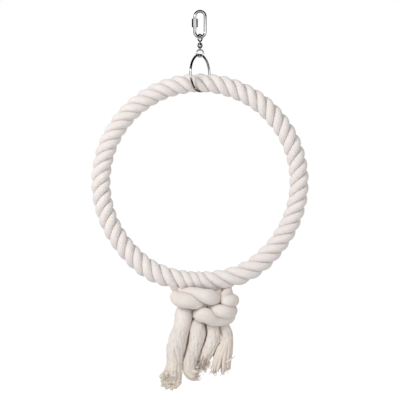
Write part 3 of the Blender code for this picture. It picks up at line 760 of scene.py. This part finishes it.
FRAYS = {
    "strand_1_left_end": {"locks": 20, "radius": 2.2 * MM, "threads": 14, "frizz": 0.9},
    "strand_1_right_end": {"locks": 20, "radius": 2.2 * MM, "threads": 12, "frizz": 0.9},
    "strand_2_left_end": {
        "locks": 44, "radius": 2.9 * MM, "flare": 0.25, "hollow": 1 * MM, "ragged": 0.06, "threads": 2,
        "blunt": 0.85, "shade": 0.3,
    },
    "strand_2_right_end": {
        "locks": 44, "radius": 2.9 * MM, "flare": 0.1, "split": 1.5 * MM, "gather": 0.25, "hollow": 3 * MM,
        "lean": 6 * MM, "ragged": 0.2,
    },
    "strand_3_left_end": {},
    "strand_3_right_end": {"locks": 28, "radius": 2.4 * MM},
}
# One lock stands off the right tail; its points are in millimetres, as in the routes.
STRAY_LOCK = [(29.0, -13.0, -81.0), (34.0, -14.0, -78.5), (40.5, -12.0, -73.5)]
STRAY_THICK, STRAY_THIN, STRAY_SIDES = 1.0 * MM, 0.4 * MM, 12

for number, (name, settings) in enumerate(FRAYS.items()):
    parts, painted_shade = fray(name, FRAY_SEED + number, **settings)
    if name == "strand_2_right_end":
        stray = np.array(STRAY_LOCK) * MM + [0, 0, RING_BOTTOM_Z]
        parts.append(thread(stray, STRAY_THICK, STRAY_THIN, STRAY_SIDES))
        painted_shade.append(np.zeros(len(parts[-1][0])))
    loose = mesh_piece(f"{name}_fray", parts, np.concatenate(painted_shade), FRAYED_COTTON)
    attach(loose, "rope")
    points, _, length = tail_lines[name]
    print(loose.name, len(parts), "locks and threads")


# %% [markdown]
# ## Polished steel
# The link, swivel and ring are bright plated steel: almost a mirror, with fine scratches from handling
# and faint drawing marks along the wire. Their look comes from what they reflect.

# %% Steel finish
SCRATCH = 0.25 * MM
SCRATCH_LENGTH = 10 * SCRATCH
SCRATCH_DEPTH = 0.05 * MM


def steel_finish(name, base, smooth, rough):
    """Plated steel whose roughness wanders between two values along fine scratches."""
    finish, tree, shader = new_finish(name, base, smooth, 1.0)
    place = add_node(tree, "ShaderNodeTexCoord")
    stretched = add_node(
        tree, "ShaderNodeMapping", {"Scale": (1 / SCRATCH, 1 / SCRATCH, 1 / SCRATCH_LENGTH)},
        {"Vector": place.outputs["Object"]},
    )
    marks = add_node(tree, "ShaderNodeTexNoise", {"Scale": 1.0, "Detail": 3.0},
                     {"Vector": stretched.outputs[0]})
    spread = add_node(
        tree, "ShaderNodeMapRange", {"From Min": 0.3, "From Max": 0.7, "To Min": smooth, "To Max": rough},
        {"Value": marks.outputs[0]},
    )
    tree.links.new(spread.outputs[0], shader.inputs["Roughness"])
    bump = add_node(tree, "ShaderNodeBump", {"Strength": 0.05, "Distance": SCRATCH_DEPTH},
                    {"Height": marks.outputs[0]})
    tree.links.new(bump.outputs[0], shader.inputs["Normal"])
    return finish


STEEL = steel_finish("plated_steel", "#D3D2D1", 0.05, 0.14)
SATIN = steel_finish("satin_barrel", "#A8A5A2", 0.2, 0.34)
# Drawn wire for the hoop, and painted shade for the necks of the swivel eyes, which lie in shade.
DRAWN_WIRE_AND_NECK_SHADE = steel_finish("drawn_wire_and_neck_shade", "#8C8C8E", 0.28, 0.45)
print("finishes:", STEEL.name, SATIN.name, DRAWN_WIRE_AND_NECK_SHADE.name)


# %% [markdown]
# ## Steel pieces
# Each is modelled as by hand from a primitive. Bent wire is a circle that is spun round its bends and
# extruded along its straights. Turned pieces are spun from a profile.

# %% Modelling helpers
SAME_POINT = 0.002 * MM
SMOOTH_ANGLE = math.radians(35)


def start_piece(name):
    """Leave edit mode on the newest object, name it and give it the steel."""
    bpy.ops.object.mode_set(mode="OBJECT")
    piece = bpy.context.object
    piece.name = piece.data.name = name
    bpy.ops.object.transform_apply(location=True, rotation=True, scale=True)
    piece.data.materials.clear()
    piece.data.materials.append(STEEL)
    return piece


def finish_piece(piece, body, *nodes):
    """Close and smooth a steel piece, put it on its body and let it stand for its nodes."""
    bpy.ops.object.mode_set(mode="OBJECT")
    bpy.ops.object.select_all(action="DESELECT")
    piece.select_set(True)
    bpy.context.view_layer.objects.active = piece
    bpy.ops.object.mode_set(mode="EDIT")
    bpy.ops.mesh.select_all(action="SELECT")
    bpy.ops.mesh.remove_doubles(threshold=SAME_POINT)
    bpy.ops.mesh.normals_make_consistent(inside=False)
    bpy.ops.object.mode_set(mode="OBJECT")
    bpy.ops.object.shade_smooth_by_angle(angle=SMOOTH_ANGLE)
    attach(piece, body)
    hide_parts(*nodes)
    bpy.ops.object.select_all(action="DESELECT")
    print(piece.name, len(piece.data.polygons), "faces")


def middle(node):
    """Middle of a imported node's box."""
    lowest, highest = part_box(node)
    return (Vector(lowest) + Vector(highest)) / 2


# %% [markdown]
# ### Quick link
# A rod bent to a long loop, open at a gate on its left leg. A curve with a bevel could make it; a circle
# that is extruded and spun gives even faces on straights and bends. It starts at the gate, goes over the
# top bend, down the right leg and round the lower bend, and ends below the gate.

# %% Quick link body
LINK_WIRE = 3.3 * MM
LINK_STRAIGHT = 17.8 * MM
ROD_SIDES = 28
BEND_STEPS = 28
BEND_RADIUS = 5.95 * MM
TOP_BEND_Z = LINK_WIRE / 2 - BEND_RADIUS
BOTTOM_BEND_Z = TOP_BEND_Z - LINK_STRAIGHT
GATE_TOP_Z = -8.5 * MM
GATE = 3.7 * MM


def extrude_by(z):
    """Extrude the selected end of the rod straight up or down."""
    bpy.ops.mesh.extrude_region_move(TRANSFORM_OT_translate={"value": (0, 0, z)})


bpy.ops.object.select_all(action="DESELECT")
bpy.ops.mesh.primitive_circle_add(
    vertices=ROD_SIDES, radius=LINK_WIRE / 2, fill_type="NGON", location=(-BEND_RADIUS, 0, GATE_TOP_Z),
)
link = start_piece("quick_link_rod")
bpy.ops.object.mode_set(mode="EDIT")
bpy.ops.mesh.select_all(action="SELECT")
extrude_by(TOP_BEND_Z - GATE_TOP_Z)
bpy.ops.mesh.spin(steps=BEND_STEPS, angle=-math.pi, center=(0, 0, TOP_BEND_Z), axis=(0, 1, 0))
extrude_by(BOTTOM_BEND_Z - TOP_BEND_Z)
bpy.ops.mesh.spin(steps=BEND_STEPS, angle=-math.pi, center=(0, 0, BOTTOM_BEND_Z), axis=(0, 1, 0))
extrude_by(GATE_TOP_Z - GATE - BOTTOM_BEND_Z)
finish_piece(link, "link", "quick_link_body")
print("rod:", [round(d / MM, 2) for d in link.dimensions], "mm")


# %% [markdown]
# ### Nut
# A long hexagon nut closes the gate. A six-sided cylinder has the flats, a bevel rounds its edges, and a
# Boolean drills it, which is simpler than bridging a round bore to a hexagon.

# %% Quick link nut
NUT_FLATS = 6.1 * MM
NUT_LENGTH = 9.6 * MM
NUT_EDGE = 0.25 * MM
BORE_RADIUS = LINK_WIRE / 2 + 0.3 * MM
BORE_SIDES = 40
nut_place = middle("quick_link_nut")
bpy.ops.mesh.primitive_cylinder_add(
    vertices=6, radius=NUT_FLATS / math.sqrt(3), depth=NUT_LENGTH, location=nut_place,
    rotation=(0, 0, math.radians(30)),
)
nut = start_piece("quick_link_hex_nut")
bpy.ops.object.mode_set(mode="EDIT")
bpy.ops.mesh.select_all(action="SELECT")
bpy.ops.mesh.bevel(offset=NUT_EDGE, segments=3, affect="EDGES")
bpy.ops.object.mode_set(mode="OBJECT")
bpy.ops.mesh.primitive_cylinder_add(
    vertices=BORE_SIDES, radius=BORE_RADIUS, depth=2 * NUT_LENGTH, location=nut_place,
)
drill = bpy.context.object
bore = nut.modifiers.new("bore", "BOOLEAN")
bore.object = drill
bore.solver = "EXACT"
bpy.context.view_layer.objects.active = nut
bpy.ops.object.modifier_apply(modifier="bore")
bpy.data.objects.remove(drill, do_unlink=True)
finish_piece(nut, "nut", "quick_link_nut")
# The rounded edges would tilt the shading of the flats, so the flats get the say over the normals.
flats = nut.modifiers.new("flats", "WEIGHTED_NORMAL")
flats.keep_sharp = True
bpy.context.view_layer.objects.active = nut
bpy.ops.object.modifier_apply(modifier="flats")


# %% [markdown]
# ### Swivel eyes
# Two wire eyes turn in the barrel. A torus makes the eye, and bevelled cylinders make the shank, the
# collar at its neck and the head that the barrel holds. They are joined to one mesh, because they are one
# piece of metal. The solids leave the collars out. The shanks, collars and heads get a darker, duller
# copy of the steel as painted shade, because the necks lie in shade.

# %% Swivel eyes
EYE_WIRE = 1.7 * MM
EYE_SEGMENTS, EYE_SIDES = 64, 18
COLLAR_RADIUS = EYE_WIRE / 2 + 0.55 * MM
COLLAR_FROM, COLLAR_TO = 0.35 * MM, 1.25 * MM
HEAD_RADIUS = 1.5 * MM
HEAD_HEIGHT = 0.9 * MM
SHANK_SHORT = 0.1 * MM
SHANK_SIDES = 28
SHANK_EDGE = 0.12 * MM


def eye_piece(name, node, body, outer, turn, side):
    """Wire eye with a collar at its neck and a headed shank; side is 1 above the barrel, -1 below."""
    lowest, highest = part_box(node)
    eye_z = highest[2] - outer / 2 if side > 0 else lowest[2] + outer / 2
    bpy.ops.object.select_all(action="DESELECT")
    bpy.ops.mesh.primitive_torus_add(
        major_radius=(outer - EYE_WIRE) / 2, minor_radius=EYE_WIRE / 2, major_segments=EYE_SEGMENTS,
        minor_segments=EYE_SIDES, location=(0, 0, eye_z), rotation=(math.pi / 2, 0, turn),
    )
    eye = start_piece(name)
    near = eye_z - side * (outer - EYE_WIRE) / 2
    far = lowest[2] if side > 0 else highest[2]
    for radius, top, bottom in (
        (EYE_WIRE / 2, near, far + side * SHANK_SHORT),
        (COLLAR_RADIUS, near - side * COLLAR_FROM, near - side * COLLAR_TO),
        (HEAD_RADIUS, far + side * HEAD_HEIGHT, far),
    ):
        bpy.ops.mesh.primitive_cylinder_add(
            vertices=SHANK_SIDES, radius=radius, depth=abs(top - bottom),
            location=(0, 0, (top + bottom) / 2),
        )
        shank = bpy.context.object
        # Painted shade: the neck pieces get the darker, duller wire because they lie in shade.
        shank.data.materials.append(DRAWN_WIRE_AND_NECK_SHADE)
        bpy.ops.object.mode_set(mode="EDIT")
        bpy.ops.mesh.bevel(offset=SHANK_EDGE, segments=2, affect="EDGES")
        bpy.ops.object.mode_set(mode="OBJECT")
        eye.select_set(True)
        shank.select_set(True)
        bpy.context.view_layer.objects.active = eye
        bpy.ops.object.join()
    finish_piece(eye, body, node)


eye_piece("swivel_eye_above", "swivel_upper_eye", "upper_eye", 9.6 * MM, math.radians(53), 1)
eye_piece("swivel_eye_below", "swivel_lower_eye", "lower_eye", 9.7 * MM, 0.0, -1)


# %% [markdown]
# ### Swivel barrel
# A turned piece, so it is made as on a lathe: a profile is drawn point by point and spun once round. The
# profile goes on inside, because the barrel is hollow and holds the heads of the eyes.

# %% Swivel barrel
barrel_place = middle("swivel_barrel")
BARREL_HALF = 2.85 * MM
BARREL_STEPS = 48
BARREL_SAME_POINT = 0.004 * MM
SEED_PLANE = 0.1 * MM
# Radius in millimetres and height as a share of half the barrel: down the outside, then up the hollow.
profile = [(1.15, 1.0), (2.0, 1.0), (2.2, 0.96), (2.45, 0.78), (2.75, 0.5), (2.92, 0.2), (2.95, 0.0)]
profile += [(r, -z) for r, z in profile[-2::-1]]
profile += [(1.15, -0.74), (1.8, -0.74), (1.8, 0.74), (1.15, 0.74), (1.15, 1.0)]
profile = [(r * MM, z * BARREL_HALF) for r, z in profile]
bpy.ops.object.select_all(action="DESELECT")
first_r, first_z = profile[0]
bpy.ops.mesh.primitive_plane_add(size=SEED_PLANE, location=(first_r, 0, barrel_place.z + first_z))
barrel = start_piece("swivel_turned_barrel")
bpy.ops.object.mode_set(mode="EDIT")
bpy.ops.mesh.select_all(action="SELECT")
bpy.ops.mesh.merge(type="CENTER")
for (r0, z0), (r1, z1) in zip(profile, profile[1:]):
    bpy.ops.mesh.extrude_vertices_move(TRANSFORM_OT_translate={"value": (r1 - r0, 0, z1 - z0)})
bpy.ops.mesh.select_all(action="SELECT")
bpy.ops.mesh.spin(steps=BARREL_STEPS, angle=2 * math.pi, center=(0, 0, barrel_place.z), axis=(0, 0, 1))
bpy.ops.mesh.select_all(action="SELECT")
bpy.ops.mesh.remove_doubles(threshold=BARREL_SAME_POINT)
barrel.data.materials[0] = SATIN
finish_piece(barrel, "barrel", "swivel_barrel")


# %% [markdown]
# ### Hanger ring
# A torus is a ready wire ring. The real one is welded shut, which leaves the wire a little thicker, so
# the points at the weld are fattened along their normals.

# %% Hanger ring
HANGER_OUTER = 44.5 * MM
HANGER_WIRE = 2.6 * MM
HANGER_TURN = math.radians(59)
HANGER_SEGMENTS, HANGER_SIDES = 160, 24
WELD_REACH = 1.0 * MM
WELD_SWELL = 0.12 * MM
hanger_place = middle("hanger_ring")
bpy.ops.object.select_all(action="DESELECT")
bpy.ops.mesh.primitive_torus_add(
    major_radius=(HANGER_OUTER - HANGER_WIRE) / 2, minor_radius=HANGER_WIRE / 2,
    major_segments=HANGER_SEGMENTS, minor_segments=HANGER_SIDES, location=hanger_place,
    rotation=(math.pi / 2, 0, HANGER_TURN),
)
hanger = start_piece("hanger_welded_ring")
bpy.ops.object.mode_set(mode="EDIT")
bpy.ops.mesh.select_mode(type="VERT")
bpy.ops.mesh.select_all(action="DESELECT")
bpy.ops.object.mode_set(mode="OBJECT")
for vertex in hanger.data.vertices:
    vertex.select = abs(vertex.co.z - hanger_place.z) < WELD_REACH and vertex.co.x > 0
print("weld:", sum(vertex.select for vertex in hanger.data.vertices), "points")
bpy.ops.object.mode_set(mode="EDIT")
bpy.ops.transform.shrink_fatten(value=WELD_SWELL)
finish_piece(hanger, "hanger", "hanger_ring")


# %% [markdown]
# ## The hoop inside
# The hoop that keeps the rope round is drawn wire. The strands cover it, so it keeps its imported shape
# and only gets its finish.

# %% Hoop finish
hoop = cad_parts["core_hoop"]
hoop.data.materials.clear()
hoop.data.materials.append(DRAWN_WIRE_AND_NECK_SHADE)
print("hoop:", hoop.name)


# %% [markdown]
# ## Studio
# The photograph is a cut-out on white with soft light. The world is white to the camera and in
# reflections, and dimmer as a light, so that the pale cotton doesn't clip.

# %% World
SOFT_LIGHT = 0.45


def seen_rays(tree):
    """Socket that is 1 for what is seen, straight, mirrored or through, and 0 for light on the part."""
    rays = add_node(tree, "ShaderNodeLightPath")
    seen = add_node(tree, "ShaderNodeMath", {"operation": "MAXIMUM"},
                    {0: rays.outputs["Is Camera Ray"], 1: rays.outputs["Is Glossy Ray"]})
    seen = add_node(tree, "ShaderNodeMath", {"operation": "MAXIMUM"},
                    {0: seen.outputs[0], 1: rays.outputs["Is Transmission Ray"]})
    return seen.outputs[0]


world = bpy.data.worlds.new("studio")
bpy.context.scene.world = world
world.use_nodes = True
sky = world.node_tree
sky.nodes.clear()
soft = add_node(sky, "ShaderNodeBackground", {"Color": (1, 1, 1, 1), "Strength": SOFT_LIGHT})
white = add_node(sky, "ShaderNodeBackground", {"Color": (1, 1, 1, 1), "Strength": 1.0})
either = add_node(sky, "ShaderNodeMixShader",
                  links={0: seen_rays(sky), 1: soft.outputs[0], 2: white.outputs[0]})
add_node(sky, "ShaderNodeOutputWorld", links={"Surface": either.outputs[0]})
print("world:", len(sky.nodes), "nodes")


# %% [markdown]
# ### Lamps
# The light comes from the left. One large lamp stands there, and a weaker and larger one opens the
# shadows from the right.

# %% Lamps
def soft_lamp(name, place, aim, size, power):
    """A square area lamp that faces a point."""
    light = bpy.data.lights.new(name, "AREA")
    light.size = size
    light.energy = power
    lamp = bpy.data.objects.new(name, light)
    lamp.location = place
    lamp.rotation_euler = (Vector(aim) - Vector(place)).to_track_quat("-Z", "Y").to_euler()
    bpy.context.scene.collection.objects.link(lamp)


AIM = (0, 0, VIEW_MIDDLE_Z)
soft_lamp("key", (-1.3, -1.3, 0.7), AIM, size=0.9, power=22)
soft_lamp("fill", (1.5, -1.6, 0.1), AIM, size=1.4, power=7)
print("lamps:", len(bpy.data.lights))


# %% [markdown]
# ### Dark cards
# Polished steel shows what stands round it, and in white surroundings it would look white. Dark cards
# out of sight give it black edges, as in a photo studio. They show only in reflections.

# %% Cards
CARD = new_finish("dark_card", "#050505", 0.9)[0]


def dark_card(name, place, aim, width, height):
    """A black card that faces a point and shows only in reflections."""
    bpy.ops.object.select_all(action="DESELECT")
    bpy.ops.mesh.primitive_plane_add(size=1, location=(0, 0, 0))
    card = bpy.context.object
    card.name = name
    facing = (Vector(aim) - Vector(place)).to_track_quat("Z", "Y").to_matrix().to_4x4()
    card.data.transform(Matrix.Translation(place) @ facing @ Matrix.Diagonal((width, height, 1, 1)))
    card.data.materials.append(CARD)
    for kind in ("camera", "diffuse", "shadow", "transmission", "volume_scatter"):
        setattr(card, f"visible_{kind}", False)


dark_card("card_above", (0, -0.05, 0.36), (0, -0.05, 0), 2.2, 1.9)
dark_card("card_below", (0.1, -0.2, -0.45), (0.1, -0.2, 0), 1.6, 1.2)
dark_card("card_behind", (-0.6, 0.55, -0.05), (-0.6, 0, -0.05), 2.0, 0.9)
dark_card("card_front", (0, -0.25, 0.085), (0, 0, 0.085), 0.3, 0.11)
dark_card("card_right", (0.8, 0.15, -0.05), (0, 0, -0.05), 1.2, 0.9)
dark_card("card_upper_right", (0.5, -0.35, 0.25), (0, 0, -0.05), 0.6, 0.4)
dark_card("card_left", (-0.85, 0.15, -0.05), (0, 0, -0.05), 1.2, 0.9)
print("cards:", CARD.users)


# %% [markdown]
# ## Floor
# A pale floor lies well below the tails and keeps the object's shadow. It glows where it is seen, so
# that it is nearly as white as the world behind it.

# %% Floor
FLOOR_Z = -0.52
FLOOR_SIZE = 8
FLOOR_BACK = 1.5
FLOOR_GLOW = 0.62
FLOOR, floor_tree, floor_shader = new_finish("pale_floor", "#F4F4F4", 0.9)
floor_shader.inputs["Emission Color"].default_value = (1, 1, 1, 1)
floor_glow = add_node(floor_tree, "ShaderNodeMath", {"operation": "MULTIPLY", 1: FLOOR_GLOW},
                      {0: seen_rays(floor_tree)})
floor_tree.links.new(floor_glow.outputs[0], floor_shader.inputs["Emission Strength"])
bpy.ops.object.select_all(action="DESELECT")
bpy.ops.mesh.primitive_plane_add(size=FLOOR_SIZE, location=(0, FLOOR_BACK, FLOOR_Z))
floor = bpy.context.object
floor.name = "floor"
floor.data.materials.append(FLOOR)
print("floor at", round(FLOOR_Z / MM), "mm")
